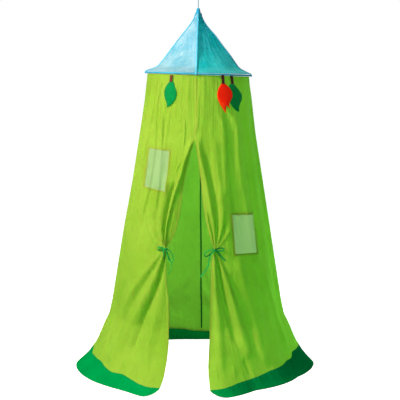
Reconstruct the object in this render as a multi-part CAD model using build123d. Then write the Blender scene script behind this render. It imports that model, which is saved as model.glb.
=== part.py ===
from build123d import *
import math
import os

# Hanging play tent: a voile roof over a hoop, cotton walls down to the floor, a tied-back door.
# Millimetres. Origin on the ceiling plane above the tip, +Z up, +X right, the door faces -Y.

# ---- heights below the ceiling ------------------------------------------------------------
tip_drop = 102.0          # ceiling to the top of the tip cap
roof_height = 371.0       # hoop plane to the top of the tip cap
wall_height = 1657.0      # hoop plane to the floor

# ---- roof ---------------------------------------------------------------------------------
brim_radius = 300.0       # outer edge of the brim
channel_radius = 6.0      # the brim's sewn channel, outside
channel_wall = 1.4
rod_radius = 3.0          # the sprung hoop rod in the channel
rod_joint_gap = 2.0       # between the rod's two ends, inside the ferrule
ferrule_length = 42.0
ferrule_radius = 4.0
ferrule_clearance = 0.05
roof_skin = 2.0
roof_sag = (0.055, 0.095, 0.166, 0.347, 0.54, 0.71, 0.81, 0.895)  # radius / brim, top to bottom
roof_rise = (0.91, 0.86, 0.77, 0.585, 0.40, 0.216, 0.103, 0.062)  # height / roof height
piping_width = 5.0
piping_height = 2.6
cap_height = 34.0
cap_top_radius = 9.0
cap_waist_radius = 13.5
cap_waist_height = 20.0

# ---- walls, all radii are outer faces -----------------------------------------------------
wall_skin = 4.0
wall_top_gap = 0.5        # below the brim channel
wall_top_radius = 286.0
skirt_height = 300.0      # where the wall starts to flare, above the floor
skirt_radius = 498.0
flare_height = 150.0
flare_radius = 570.0
hem_height = 90.0         # top of the hem band above the floor
hem_top_radius = 604.0
hem_radius = 670.0
hem_shift = (-13.0, -55.0)   # the hem lies a little to the left and to the front
seam_width = 8.0
seam_height = 1.6

# ---- door ---------------------------------------------------------------------------------
slit_drop = 364.0         # hoop plane to the top of the door slit
slit_half = 10.0          # half the width that stays sewn at the slit's top
door_top_half = 4.0
tie_drop = 938.0
left_edge = ((-177.0, tie_drop), (-160.0, 1300.0), (-205.0, 1700.0))
right_edge = ((85.0, tie_drop), (62.0, 1400.0), (64.0, 1700.0))
left_hinge_angle = 50.0   # where each flap's fold line meets the hem, from the front
right_hinge_angle = 37.0
slit_clear = 4.0          # the fold line runs this far outside the cloth at the slit
hem_clear = 9.0           # and at the hem
flap_gap = 0.4
slit_gap = 1.5            # between a flap's top and the cloth above the slit

# ---- windows, corners as (x, drop below the hoop) -------------------------------------------
left_window_corners = ((-268.0, 403.0), (-157.0, 414.0), (-176.0, 633.0), (-295.0, 612.0))
right_window_corners = ((181.0, 757.0), (305.0, 763.0), (322.0, 972.0), (198.0, 966.0))
pane_inset = 1.5
pane_skin = 1.0
trim_width = 6.0
trim_height = 0.8

# ---- ties ---------------------------------------------------------------------------------
ribbon_width = 6.0
ribbon_skin = 1.2
knot_size = (12.0, 14.0, 10.0)
tail_gap = 0.1            # tails lie this far above the band
band_height = 8.0
band_reach = 22.0
band_clear = 0.8
band_skin = 1.4
edge_clear = 2.0          # between the band's fold and the door's edge
left_loops = (
    ((-3, 2), (-17, 7), (-35, 11), (-42, -1), (-35, -9), (-17, -10), (-3, -2)),
    ((3, 1), (23, -6), (36, -21), (45, -38), (48, -55), (37, -69), (24, -60), (18, -43), (14, -26), (3, -3)),
)
left_tails = (
    ((3, -4), (17, -36), (34, -70), (37, -90), (31, -111), (16, -133)),
    ((-4, -4), (-6, -20), (-9, -42), (-8, -60)),
)
right_loops = (
    ((3, 2), (20, 7), (42, 9), (50, 1), (42, -6), (20, -6), (3, -2)),
    ((-3, 1), (-28, 0), (-48, -12), (-56, -24), (-46, -38), (-28, -26), (-3, -4)),
)
right_tails = (
    ((3, -4), (17, -12), (36, -36), (56, -60)),
    ((-2, -5), (-22, -25), (-28, -51), (-32, -82), (-47, -113), (-73, -144)),
)

# ---- leaves -------------------------------------------------------------------------------
leaf_skin = 1.5
strap_width = 14.0
strap_overlap = 6.0       # the strap reaches this far over its leaf
strap_top_gap = 2.0       # below the brim channel
leaf_lift = 3.0
red_front_lift = 10.0     # the back red leaf lies against the front one
green_leaf_angle = -31.0
red_leaf_angle = 26.9
dark_leaf_angle = 38.3
green_leaf_top = 35.0     # below the fold of the strap
red_leaf_top = 42.0
# outlines from the middle of each leaf's top, x to the right and y up
green_leaf = ((-5, 0), (7, 0), (16, -9), (20, -28), (28, -45), (34, -64), (35, -79), (31, -99), (21, -117),
              (7, -133), (-9, -145), (-13, -142), (-12, -128), (-18, -114), (-26, -99), (-32, -79), (-34, -58),
              (-30, -37), (-21, -18))
red_leaf = ((-5, 0), (5, 0), (21, -12), (39, -33), (48, -56), (46, -77), (35, -98), (25, -114), (25, -127),
            (28, -139), (15, -127), (-4, -116), (-24, -92), (-34, -66), (-33, -48), (-25, -31), (-12, -10))
red_back_leaf = ((-5, 0), (5, 0), (17, -14), (31, -36), (35, -58), (31, -80), (21, -102), (12, -122), (8, -142),
                 (4, -164), (-9, -143), (-24, -116), (-34, -86), (-35, -60), (-26, -31), (-12, -10))
dark_leaf = ((-5, 0), (6, 0), (17, -13), (31, -30), (44, -51), (51, -68), (48, -88), (37, -111), (28, -132),
             (26, -147), (27, -158), (20, -160), (6, -150), (-10, -129), (-22, -103), (-30, -75), (-29, -48),
             (-18, -15))

# ---- hanging cord and hook ----------------------------------------------------------------
cord_radius = 2.3
cord_clearance = 0.5
strand_gap = 0.2          # between the two strands where they run through the tip cap
knot_gap = 0.3
knot_shoulder = 3.5       # the knot is this much wider than the strands that enter it
hook_wire = 1.75
hook_drop = 40.0          # ceiling to the middle of the wire at the hook's bottom
hook_half = 10.0
hook_bend = 9.4
shank_radius = 2.2
shank_length = 30.0
collar_radius = 8.0
collar_height = 3.0
loop_play = 0.1
strand_stretch = 4.0      # straight above the tip cap before the strands spread
spread_bend = 60.0

# ---- derived ------------------------------------------------------------------------------
z_tip = -tip_drop
z_hoop = z_tip - roof_height
z_floor = z_hoop - wall_height
z_slit = z_hoop - slit_drop
z_cap = z_tip - cap_height
hoop_radius = brim_radius - channel_radius
z_wall_top = z_hoop - channel_radius - wall_top_gap
slope = math.atan((skirt_radius - wall_top_radius) / (z_wall_top - (z_floor + skirt_height)))
far = 3 * hem_radius

nodes = {}


def wall_radius(z):
    """Outer radius of the straight part of the wall."""
    return wall_top_radius + (z_wall_top - z) * math.tan(slope)


def shift_at(height):
    """How far the skirt's ring has moved towards the front at a height above the floor."""
    share = max(0.0, 1.0 - height / skirt_height) ** 1.5
    return hem_shift[0] * share, hem_shift[1] * share


def ring(height, radius):
    return Plane((*shift_at(height), z_floor + height)) * Circle(radius)


def wall_body(grow):
    """The solid inside the wall's face, down to the hem band, grown outwards."""
    z_skirt = z_floor + skirt_height
    rings = [Plane((0, 0, z_wall_top)) * Circle(wall_top_radius + grow),
             Plane((0, 0, z_skirt)) * Circle(skirt_radius + grow),
             ring(flare_height, flare_radius + grow), ring(hem_height, hem_top_radius + grow)]
    return loft(rings, ruled=True)


def hem_body(grow):
    return loft([ring(hem_height, hem_top_radius + grow), ring(0, hem_radius + grow)], ruled=True)


def box(low, high):
    size = [b - a for a, b in zip(low, high)]
    mid = [(a + b) / 2 for a, b in zip(low, high)]
    return Pos(*mid) * Box(*size)


def quarter(side_x, side_y):
    """A quarter of space around the Z axis."""
    xs = sorted((0, side_x * far))
    ys = sorted((0, side_y * far))
    return box((xs[0], ys[0], z_floor - far), (xs[1], ys[1], far))


def front_prism(corners, grow=0.0):
    """A prism through the front wall, from (x, drop) corners."""
    outline = Polyline(*[(x, z_hoop - drop) for x, drop in corners], close=True)
    face = make_face(outline)
    if grow:
        face = offset(face, amount=grow, kind=Kind.INTERSECTION)
    return extrude(Plane.XZ * face, amount=far)


def save(name, solid):
    solid.label = name
    nodes[name] = solid


# ---- walls and hem ------------------------------------------------------------------------
wall_shell = wall_body(0) - wall_body(-wall_skin)
hem_shell = hem_body(0) - hem_body(-wall_skin)
door = front_prism(((-door_top_half, slit_drop - door_top_half), (-door_top_half, slit_drop), *left_edge,
                    *reversed(right_edge), (door_top_half, slit_drop), (door_top_half, slit_drop - door_top_half)))
below_slit = box((-far, -far, z_floor - far), (far, far, z_slit))


def fold_line(side, angle):
    """The straight line that a door flap folds about, from the slit's top to the hem."""
    top = Vector(side * slit_half, -(wall_radius(z_slit) + slit_clear), z_slit)
    turn = math.radians(angle)
    reach = hem_radius + hem_clear
    bottom = Vector(hem_shift[0] + side * reach * math.sin(turn), hem_shift[1] - reach * math.cos(turn), z_floor)
    return top, bottom


def flap_side(side, angle, inset):
    """All the space on the door's side of the fold line, set in by a gap."""
    top, bottom = fold_line(side, angle)
    middle = Vector(0, 0, (z_slit + z_floor) / 2)
    along = (bottom - top).normalized()
    across = along.cross(middle - top).normalized()
    if across.X * side > 0:
        across = across * -1
    cut = Plane(origin=top + across * inset, x_dir=along, z_dir=across)
    return extrude(cut * Rectangle(3 * far, 3 * far), amount=far)


left_space = flap_side(-1, left_hinge_angle, 0) & below_slit
right_space = flap_side(1, right_hinge_angle, 0) & below_slit
flap_height = Pos(0, 0, -slit_gap) * below_slit
left_flap_space = (flap_side(-1, left_hinge_angle, flap_gap) & flap_height & quarter(-1, -1)) - door
right_flap_space = (flap_side(1, right_hinge_angle, flap_gap) & flap_height & quarter(1, -1)) - door

left_window = front_prism(left_window_corners)
right_window = front_prism(right_window_corners)
front_left = quarter(-1, -1) - left_space - door
front_right = quarter(1, -1) - right_space - door

save("wall_front_left", (wall_shell & front_left) - left_window)
save("wall_front_right", (wall_shell & front_right) - right_window)
save("wall_back_left", wall_shell & quarter(-1, 1))
save("wall_back_right", wall_shell & quarter(1, 1))
save("hem_front_left", hem_shell & front_left)
save("hem_front_right", hem_shell & front_right)
save("hem_back_left", hem_shell & quarter(-1, 1))
save("hem_back_right", hem_shell & quarter(1, 1))
save("left_flap_panel", wall_shell & left_flap_space)
save("right_flap_panel", wall_shell & right_flap_space)
save("left_flap_hem", hem_shell & left_flap_space)
save("right_flap_hem", hem_shell & right_flap_space)

# seams: a flat felled ridge on the outside in front, on the inside at the back and the sides
outer_ridge = wall_body(seam_height) - wall_body(0)
inner_ridge = wall_body(-wall_skin) - wall_body(-wall_skin - seam_height)
half_seam = seam_width / 2
save("front_seam", outer_ridge & box((-half_seam, -far, z_slit + seam_width), (half_seam, 0, 0)))
save("back_seam", inner_ridge & box((-half_seam, 0, z_floor + hem_height), (half_seam, far, 0)))
save("left_seam", inner_ridge & box((-far, -half_seam, z_floor + hem_height), (0, half_seam, 0)))
save("right_seam", inner_ridge & box((0, -half_seam, z_floor + hem_height), (far, half_seam, 0)))

# windows: a voile pane in the wall's hole, with a stitched binding around it
pane_shell = wall_body(-pane_inset) - wall_body(-pane_inset - pane_skin)
trim_shell = wall_body(trim_height) - wall_body(0)
for name, corners, hole in (("left_window", left_window_corners, left_window),
                            ("right_window", right_window_corners, right_window)):
    save(name + "_pane", pane_shell & hole)
    save(name + "_trim", trim_shell & (front_prism(corners, trim_width) - hole))

# ---- roof ---------------------------------------------------------------------------------
roof_top_radius = roof_sag[0] * brim_radius
roof_points = [(share * brim_radius, z_hoop + rise * roof_height) for share, rise in zip(roof_sag, roof_rise)]
roof_points[0] = (roof_top_radius, z_cap)
roof_points.append((hoop_radius, z_hoop + channel_radius + roof_skin))


def roof_skin_between(outer, inner):
    """A full turn of roof cloth between two distances outside the roof's face."""
    rim = [[(r + d, z + d) for r, z in roof_points] for d in (outer, inner)]
    rim = [[(r, min(max(z, rim_z), z_cap)) for r, z in row] for row, rim_z in zip(rim, (z_hoop + channel_radius,) * 2)]
    upper = Spline(*rim[0])
    lower = Spline(*rim[1])
    face = make_face([upper, Line(rim[0][-1], rim[1][-1]), lower, Line(rim[1][0], rim[0][0])])
    return revolve(Plane.XZ * face, axis=Axis.Z)


roof_shell = roof_skin_between(0, -roof_skin)
for x, y, name in ((-1, -1, "front_left"), (1, -1, "front_right"), (-1, 1, "back_left"), (1, 1, "back_right")):
    save("roof_gore_" + name, roof_shell & quarter(x, y))

piping_shell = roof_skin_between(piping_height, 0)
half_pipe = piping_width / 2
pipe_box = box((-half_pipe, -far, z_hoop), (half_pipe, 0, z_cap))
for turn, name in ((0, "front"), (90, "right"), (180, "back"), (270, "left")):
    save("roof_piping_" + name, piping_shell & pipe_box.rotate(Axis.Z, turn))

strand_half = cord_radius + strand_gap / 2
cord_hole = strand_half + cord_radius + cord_clearance
cap_outline = Polyline((cord_hole, z_cap), (roof_top_radius, z_cap), (cap_waist_radius, z_cap + cap_waist_height),
                       (cap_top_radius, z_tip), (cord_hole, z_tip), close=True)
save("tip_cap", revolve(Plane.XZ * make_face(cap_outline), axis=Axis.Z))

# ---- brim and hoop ------------------------------------------------------------------------
def hoop_tube(radius, turn=360.0):
    section = Plane.XZ * (Pos(hoop_radius, z_hoop) * Circle(radius))
    return revolve(section, axis=Axis.Z, revolution_arc=turn)


save("brim_channel", hoop_tube(channel_radius) - hoop_tube(channel_radius - channel_wall))
gap_turn = math.degrees(rod_joint_gap / hoop_radius)
rod_start = 90 + gap_turn / 2      # the rod's ends meet at the back
save("hoop_rod", hoop_tube(rod_radius, 360 - gap_turn).rotate(Axis.Z, rod_start))
ferrule_turn = math.degrees(ferrule_length / hoop_radius)
sleeve = hoop_tube(ferrule_radius, ferrule_turn) - hoop_tube(rod_radius + ferrule_clearance, ferrule_turn)
save("hoop_ferrule", sleeve.rotate(Axis.Z, 90 - ferrule_turn / 2))

# ---- ties ---------------------------------------------------------------------------------
def tie_frame(x):
    """The plane on the wall's face at a tie: x to the right, y up the cloth, z outwards."""
    z = z_hoop - tie_drop
    radius = wall_radius(z)
    turn = math.asin(x / radius)
    right = Vector(math.cos(turn), math.sin(turn), 0)
    out = Vector(math.sin(turn), -math.cos(turn), 0)
    normal = out * math.cos(slope) + Vector(0, 0, math.sin(slope))
    return Plane(origin=out * radius + Vector(0, 0, z), x_dir=right, z_dir=normal)


def ribbon(frame, points, lift, across, deep):
    """A strip along a path in the tie's plane: its size across the path and away from the cloth."""
    path = Plane(origin=frame.origin + frame.z_dir * lift, x_dir=frame.x_dir, z_dir=frame.z_dir) * Spline(*points)
    start = Plane(origin=path @ 0, x_dir=frame.z_dir, z_dir=path % 0)
    return sweep(start * Rectangle(deep, across), path=path)


def tie(side, x, loops, tails):
    frame = tie_frame(x)
    knot_lift = band_clear + band_skin
    middle = knot_lift + knot_size[2] / 2
    knot = fillet((frame * (Pos(0, 0, middle) * Box(*knot_size))).edges(), knot_size[2] / 3)
    save(side + "_tie_knot", knot)
    for kind, paths, lift, across, deep in (
            ("loop", loops, middle, ribbon_skin, ribbon_width),
            ("tail", tails, knot_lift + tail_gap + ribbon_skin / 2, ribbon_width, ribbon_skin)):
        for number, points in enumerate(paths):
            strip = ribbon(frame, points, lift, across, deep) - knot
            save(f"{side}_tie_{kind}_{'ab'[number]}", strip)
    # the band folds around the door's edge, one leg outside the cloth and one inside
    reach_in = band_reach if x < 0 else -band_reach
    low, high = sorted((x - reach_in, x + math.copysign(edge_clear + band_skin, reach_in)))
    clear_low, clear_high = sorted((x - 2 * reach_in, x + math.copysign(edge_clear, reach_in)))
    z = z_hoop - tie_drop
    z_low, z_high = z - band_height / 2, z + band_height / 2
    thick = (wall_body(band_clear + band_skin) - wall_body(-wall_skin - band_clear - band_skin))
    clear = (wall_body(band_clear) - wall_body(-wall_skin - band_clear))
    save(side + "_tie_band", (thick & box((low, -far, z_low), (high, 0, z_high)))
         - (clear & box((clear_low, -far, z_low - 1), (clear_high, 0, z_high + 1))))


tie("left", left_edge[0][0], left_loops, left_tails)
tie("right", right_edge[0][0], right_loops, right_tails)

# ---- leaves -------------------------------------------------------------------------------
z_leaf = z_hoop - channel_radius - strap_top_gap


def leaf_frame(angle, lift):
    """The plane a leaf hangs in: x to the right, y up the wall, z outwards."""
    turn = math.radians(angle)
    out = Vector(math.sin(turn), -math.cos(turn), 0)
    right = Vector(math.cos(turn), math.sin(turn), 0)
    normal = out * math.cos(slope) + Vector(0, 0, math.sin(slope))
    return Plane(origin=out * wall_radius(z_leaf) + Vector(0, 0, z_leaf) + normal * lift, x_dir=right, z_dir=normal)


def leaf(angle, lift, top, outline):
    face = make_face(Spline(*[(x, y - top) for x, y in outline], periodic=True))
    return extrude(leaf_frame(angle, lift) * face, amount=leaf_skin)


def strap(angle, lift, top):
    length = top + strap_overlap
    face = Pos(0, -length / 2) * Rectangle(strap_width, length)
    return extrude(leaf_frame(angle, lift + leaf_skin) * face, amount=leaf_skin)


save("green_leaf", leaf(green_leaf_angle, leaf_lift, green_leaf_top, green_leaf))
save("green_leaf_strap", strap(green_leaf_angle, leaf_lift, green_leaf_top))
save("red_leaf_front", leaf(red_leaf_angle, red_front_lift, red_leaf_top, red_leaf))
save("red_leaf_back", leaf(red_leaf_angle, red_front_lift - leaf_skin, red_leaf_top, red_back_leaf))
save("red_leaf_strap", strap(red_leaf_angle, red_front_lift, red_leaf_top))
save("dark_leaf", leaf(dark_leaf_angle, leaf_lift, red_leaf_top, dark_leaf))
save("dark_leaf_strap", strap(dark_leaf_angle, leaf_lift, red_leaf_top))

# ---- hanging cord, its knot and the ceiling hook --------------------------------------------
strand_top = hook_wire + cord_radius + loop_play
z_loop = -hook_drop + strand_top
z_knot = z_cap - knot_gap
z_spread = z_tip + strand_stretch
cord_points = [(0, -strand_half, z_knot), (0, -strand_half, z_spread), (0, -strand_top, z_loop),
               (0, strand_top, z_loop), (0, strand_half, z_spread), (0, strand_half, z_knot)]


def tube(points, radii, radius, name):
    """A tube along straight runs with tangent arcs, with its radii and volume printed as a check."""
    path = FilletPolyline(*points, radius=radii)
    start = Plane(origin=path @ 0, z_dir=path % 0)
    solid = sweep(start * Circle(radius), path=path)
    ideal = math.pi * radius ** 2 * path.length
    print(name, "radii", [round(r, 2) for r in radii], "length", round(path.length, 1),
          "volume / (section x length)", round(solid.volume / ideal, 4))
    return solid


turn_radius = strand_top - 0.02
save("hanging_cord", tube(cord_points, [spread_bend, turn_radius, turn_radius, spread_bend], cord_radius, "hanging_cord"))
knot_top = strand_half + cord_radius + cord_clearance
knot_wide = knot_top + knot_shoulder
knot_outline = Polyline((0, z_knot), (knot_top, z_knot), (knot_wide, z_knot - knot_shoulder),
                        (knot_wide, z_knot - 2 * knot_shoulder), (knot_top, z_knot - 3 * knot_shoulder),
                        (0, z_knot - 3 * knot_shoulder), close=True)
save("cord_knot", revolve(Plane.XZ * make_face(knot_outline), axis=Axis.Z))

hook_points = [(0, 0, -collar_height), (0, 0, -hook_drop / 3), (hook_half, 0, -hook_drop / 2),
               (hook_half, 0, -hook_drop), (-hook_half, 0, -hook_drop), (-hook_half, 0, -hook_drop * 0.65)]
hook = tube(hook_points, [4.0, 4.0, hook_bend, hook_bend], hook_wire, "ceiling_hook")
collar = Pos(0, 0, -collar_height / 2) * Cylinder(collar_radius, collar_height)
shank = Pos(0, 0, shank_length / 2) * Cylinder(shank_radius, shank_length)
save("ceiling_hook", hook + collar + shank)

# ---- write --------------------------------------------------------------------------------
os.makedirs("parts", exist_ok=True)
for name, solid in nodes.items():
    print(f"{name:24s} solids {len(solid.solids()):2d}  volume {solid.volume / 1000:10.2f} cm3")
    export_step(solid, f"parts/{name}.step")
for side, angle in ((-1, left_hinge_angle), (1, right_hinge_angle)):
    top, bottom = fold_line(side, angle)
    print("fold line", side, [round(v, 2) for v in top], [round(v, 2) for v in bottom])
print("z_hoop", z_hoop, "z_floor", z_floor, "slope", round(math.degrees(slope), 3), "z_leaf", z_leaf)
print("z_cap", z_cap, "cord points", [[round(v, 3) for v in p] for p in cord_points])
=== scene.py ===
import math

import bmesh
import bpy
import numpy as np
from mathutils import Matrix, Vector


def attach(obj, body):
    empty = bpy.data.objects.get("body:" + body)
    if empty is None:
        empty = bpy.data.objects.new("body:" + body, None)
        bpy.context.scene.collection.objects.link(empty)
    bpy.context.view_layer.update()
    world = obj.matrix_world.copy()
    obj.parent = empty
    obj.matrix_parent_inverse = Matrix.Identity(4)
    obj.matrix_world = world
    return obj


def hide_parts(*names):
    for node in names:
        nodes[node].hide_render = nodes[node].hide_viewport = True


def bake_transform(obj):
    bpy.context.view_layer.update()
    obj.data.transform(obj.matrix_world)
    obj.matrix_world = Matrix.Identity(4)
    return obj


# Hanging play tent: voile roof over a hoop, cotton walls down to the floor, a door tied back.
# Metres. Origin on the ceiling plane above the tip, +Z up, the door faces -Y.
# Angles round the tent are in degrees from the front, positive towards +X.

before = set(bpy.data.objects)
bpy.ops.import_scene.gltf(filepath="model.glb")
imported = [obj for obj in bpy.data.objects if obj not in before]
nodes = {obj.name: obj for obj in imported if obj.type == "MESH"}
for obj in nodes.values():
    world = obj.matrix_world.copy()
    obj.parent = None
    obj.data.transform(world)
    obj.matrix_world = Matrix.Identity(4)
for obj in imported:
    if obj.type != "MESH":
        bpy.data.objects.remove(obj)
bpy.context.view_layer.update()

# ---- camera ---------------------------------------------------------------------------------
lens_data = bpy.data.cameras.new("view")
lens_data.lens = 107.26
lens_data.sensor_width = 36
camera = bpy.data.objects.new("view", lens_data)
camera.location = (0, -6.75, -0.4628)
camera.rotation_euler = (math.pi / 2 - 0.10696, 0, -0.00143)
bpy.context.scene.collection.objects.link(camera)
bpy.context.scene.camera = camera

# ---- main sizes -----------------------------------------------------------------------------
z_hoop = -0.473
z_wall_top = -0.4795
z_floor = -2.13
hoop_radius = 0.294
wall_top_radius = 0.286
mean_floor_radius = 0.677
spread_height = 0.30        # the hem takes its own outline below this height above the floor
door_top = -0.822           # above this the two front halves meet at the seam
seam_turn = -2.2            # the front seam sits a little to the left
wall_slope = math.radians(8.921)
cloth_skin = 0.0011
band_overlap = 0.004        # the hem band starts this far above the wall cloth's end
wall_under_band = 0.010     # and the wall cloth runs on behind it
band_lift = 0.0016


# ---- materials --------------------------------------------------------------------------------
class Nodes:
    """A material's node tree, with short ways to add the nodes that every finish here uses."""

    def __init__(self, name):
        self.material = bpy.data.materials.new(name)
        self.material.use_nodes = True
        self.tree = self.material.node_tree
        self.tree.nodes.clear()

    def add(self, kind, **values):
        node = self.tree.nodes.new(kind)
        for key, value in values.items():
            setattr(node, key, value)
        return node

    def link(self, start, end):
        self.tree.links.new(start, end)

    def coords(self, cloth, size=(1, 1, 1), turn=0.0):
        """Cloth coordinates follow the piece's own UV map in metres, the others its place."""
        source = self.add("ShaderNodeTexCoord").outputs["UV" if cloth else "Object"]
        spread = self.add("ShaderNodeMapping")
        spread.inputs["Scale"].default_value = size
        spread.inputs["Rotation"].default_value = (0, 0, turn)
        self.link(source, spread.inputs["Vector"])
        return spread.outputs["Vector"]

    def noise(self, vector, scale, detail=3.0, rough=0.55, twist=0.0):
        node = self.add("ShaderNodeTexNoise")
        node.inputs["Scale"].default_value = scale
        node.inputs["Detail"].default_value = detail
        node.inputs["Roughness"].default_value = rough
        node.inputs["Distortion"].default_value = twist
        self.link(vector, node.inputs["Vector"])
        return node.outputs["Fac"]

    def threads(self, vector, scale, direction):
        node = self.add("ShaderNodeTexWave", wave_type="BANDS", bands_direction=direction)
        node.inputs["Scale"].default_value = scale
        node.inputs["Distortion"].default_value = 0.6
        node.inputs["Detail"].default_value = 1.0
        self.link(vector, node.inputs["Vector"])
        return node.outputs["Fac"]

    def ramp(self, value, stops):
        node = self.add("ShaderNodeValToRGB")
        edge = node.color_ramp
        while len(edge.elements) < len(stops):
            edge.elements.new(0.5)
        for element, (place, color) in zip(edge.elements, stops):
            element.position = place
            element.color = (*color, 1)
        self.link(value, node.inputs["Fac"])
        return node.outputs["Color"]

    def blend(self, share, first, second, kind="MIX"):
        node = self.add("ShaderNodeMix", data_type="RGBA", blend_type=kind)
        for socket, value in ((node.inputs[0], share), (node.inputs[6], first), (node.inputs[7], second)):
            if isinstance(value, (int, float)):
                socket.default_value = value
            elif isinstance(value, tuple):
                socket.default_value = (*value, 1)
            else:
                self.link(value, socket)
        return node.outputs[2]

    def math(self, kind, first, second=0.0, third=None):
        node = self.add("ShaderNodeMath", operation=kind)
        for socket, value in zip(node.inputs, (first, second, third)):
            if value is None:
                continue
            if isinstance(value, (int, float)):
                socket.default_value = value
            else:
                self.link(value, socket)
        return node.outputs[0]

    def bump(self, height, strength, distance, under=None):
        node = self.add("ShaderNodeBump")
        node.inputs["Strength"].default_value = strength
        node.inputs["Distance"].default_value = distance
        self.link(height, node.inputs["Height"])
        if under is not None:
            self.link(under, node.inputs["Normal"])
        return node.outputs["Normal"]

    def principled(self, color, rough, normal=None, **sockets):
        node = self.add("ShaderNodeBsdfPrincipled")
        self.link(color, node.inputs["Base Color"])
        if isinstance(rough, (int, float)):
            node.inputs["Roughness"].default_value = rough
        else:
            self.link(rough, node.inputs["Roughness"])
        if normal is not None:
            self.link(normal, node.inputs["Normal"])
        for name, value in sockets.items():
            node.inputs[name.replace("_", " ")].default_value = value
        return node.outputs[0]

    def mix_shader(self, share, first, second):
        node = self.add("ShaderNodeMixShader")
        if isinstance(share, (int, float)):
            node.inputs[0].default_value = share
        else:
            self.link(share, node.inputs[0])
        self.link(first, node.inputs[1])
        self.link(second, node.inputs[2])
        return node.outputs[0]

    def translucent(self, color, normal=None):
        node = self.add("ShaderNodeBsdfTranslucent")
        if isinstance(color, tuple):
            node.inputs["Color"].default_value = (*color, 1)
        else:
            self.link(color, node.inputs["Color"])
        if normal is not None:
            self.link(normal, node.inputs["Normal"])
        return node.outputs[0]

    def finish(self, shader):
        out = self.add("ShaderNodeOutputMaterial")
        self.link(shader, out.inputs["Surface"])
        return self.material


def cotton(name, light, dark, through, glow=0.3, sheen=0.06, rough=0.9, weave=900.0, shine=0.03,
           crumple=0.35):
    """Woven cotton: colour drifts a little, fine weave, thicker yarns here and there, soft creases."""
    n = Nodes(name)
    place = n.coords(False)
    cloth = n.coords(True)
    drift = n.noise(place, 4.0, 4.0)
    slub = n.noise(n.coords(True, (260, 38, 1)), 1.0, 2.0, 0.6)
    slub_across = n.noise(n.coords(True, (38, 260, 1)), 1.0, 2.0, 0.6)
    yarns = n.math("ADD", slub, slub_across)
    base = n.ramp(drift, ((0.34, dark), (0.66, light)))
    speck = n.ramp(yarns, ((0.70, (0.86, 0.88, 0.80)), (1.0, (1.0, 1.0, 1.0)),
                           (1.25, (1.08, 1.06, 1.12))))
    color = n.blend(0.8, base, speck, "MULTIPLY")
    fine = n.math("MULTIPLY", n.threads(cloth, weave, "X"), n.threads(cloth, weave, "Y"))
    crease = n.noise(place, 22.0, 3.0, 0.5, 0.4)
    hang = n.noise(n.coords(True, (17, 2.4, 1)), 1.0, 3.0, 0.5, 0.6)
    normal = n.bump(hang, 0.30, 0.035)
    normal = n.bump(crease, crumple, 0.012, normal)
    normal = n.bump(yarns, 0.35, 0.0012, normal)
    normal = n.bump(fine, 0.5, 0.0004, normal)
    body = n.principled(color, rough, normal, Sheen_Weight=sheen, Sheen_Roughness=0.45,
                        Specular_IOR_Level=shine)
    return n.finish(n.mix_shader(glow, body, n.translucent(through, normal)))


def voile(name, pale, deep, through, clear=0.12, weave=700.0, crinkle=60.0, sheen=0.1, glow=0.35):
    """Thin crinkled voile that lets some light and a little of what is behind it through."""
    n = Nodes(name)
    place = n.coords(False)
    cloth = n.coords(True)
    drift = n.noise(place, 7.0, 5.0, 0.6)
    grain = n.noise(place, crinkle, 4.0, 0.7, 0.8)
    color = n.ramp(n.math("ADD", n.math("MULTIPLY", drift, 0.6), n.math("MULTIPLY", grain, 0.4)),
                   ((0.42, deep), (0.62, pale)))
    fine = n.math("MULTIPLY", n.threads(cloth, weave, "X"), n.threads(cloth, weave, "Y"))
    normal = n.bump(grain, 0.5, 0.004)
    normal = n.bump(fine, 0.4, 0.0004, normal)
    body = n.principled(color, 0.75, normal, Sheen_Weight=sheen, Sheen_Roughness=0.4, Specular_IOR_Level=0.08)
    cloth_side = n.mix_shader(glow, body, n.translucent(through, normal))
    gap = n.add("ShaderNodeBsdfTransparent").outputs[0]
    share = n.math("MULTIPLY_ADD", grain, clear, clear * 0.5)
    return n.finish(n.mix_shader(share, cloth_side, gap))


def felt(name, light, dark):
    """Thick pressed felt with fibres and slightly fuzzy light."""
    n = Nodes(name)
    place = n.coords(False)
    mottle = n.noise(place, 45.0, 5.0, 0.65)
    fibre = n.noise(n.coords(True, (1500, 500, 1)), 1.0, 3.0, 0.7, 1.5)
    color = n.ramp(n.math("ADD", n.math("MULTIPLY", mottle, 0.7), n.math("MULTIPLY", fibre, 0.3)),
                   ((0.36, dark), (0.62, light)))
    normal = n.bump(fibre, 0.4, 0.0007)
    return n.finish(n.principled(color, 0.97, normal, Sheen_Weight=0.04, Sheen_Roughness=0.6,
                                 Specular_IOR_Level=0.02))


def ribbon_satin(name, light, dark, rough=0.38):
    """Narrow woven ribbon: fine ribs across it and a soft sheen."""
    n = Nodes(name)
    ribs = n.threads(n.coords(True), 420.0, "Y")
    tone = n.noise(n.coords(False), 90.0, 3.0)
    color = n.ramp(tone, ((0.35, dark), (0.65, light)))
    normal = n.bump(ribs, 0.5, 0.0003)
    return n.finish(n.principled(color, rough, normal, Sheen_Weight=0.03, Specular_IOR_Level=0.2))


def twisted_yarn(name, light, dark):
    """Cord: slanting strands with a little difference in tone."""
    n = Nodes(name)
    lay = n.threads(n.coords(False, (1, 1, 0.6), 0.7), 300.0, "DIAGONAL")
    tone = n.noise(n.coords(False), 150.0, 3.0)
    color = n.blend(tone, n.ramp(lay, ((0.2, dark), (0.8, light))), light)
    return n.finish(n.principled(color, 0.8, n.bump(lay, 0.7, 0.0006), Sheen_Weight=0.3))


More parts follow.
